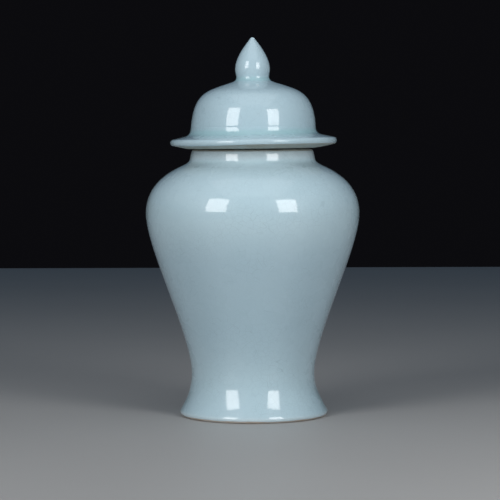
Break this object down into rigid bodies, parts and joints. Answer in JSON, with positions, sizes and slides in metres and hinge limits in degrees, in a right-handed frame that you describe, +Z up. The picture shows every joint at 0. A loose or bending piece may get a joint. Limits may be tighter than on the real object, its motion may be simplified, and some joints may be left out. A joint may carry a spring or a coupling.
{
  "type": "lidded ginger jar",
  "caption": "Broad-shouldered glazed porcelain jar on a flared foot, with a flanged, domed lift-off lid and a bud finial, for display or dry storage.",
  "frame": {"origin": "centre of the foot's standing face, on the surface that the jar stands on", "axes": "+Z up along the axis of revolution, from the foot to the finial; +X to the right and +Y away from the viewer at the front, which is any side of a turned form"},
  "size_m": [0.2262, 0.2262, 0.4],
  "materials": {
    "celadon_glaze": "high gloss with a fine crackle",
    "bare_biscuit": "matte, unglazed"
  },
  "bodies": {
    "jar": {"foot_ring": "celadon_glaze", "lower_body": "celadon_glaze", "upper_body": "celadon_glaze", "neck": "celadon_glaze"},
    "lid": {"lid_collar": "bare_biscuit", "lid_flange": "celadon_glaze", "lid_dome": "celadon_glaze", "lid_finial": "celadon_glaze"}
  },
  "joints": [
    {"name": "lid_lift", "type": "slide", "parent": "jar", "child": "lid", "axis": [0, 0, 1], "range_m": [0, 0.12]}
  ]
}
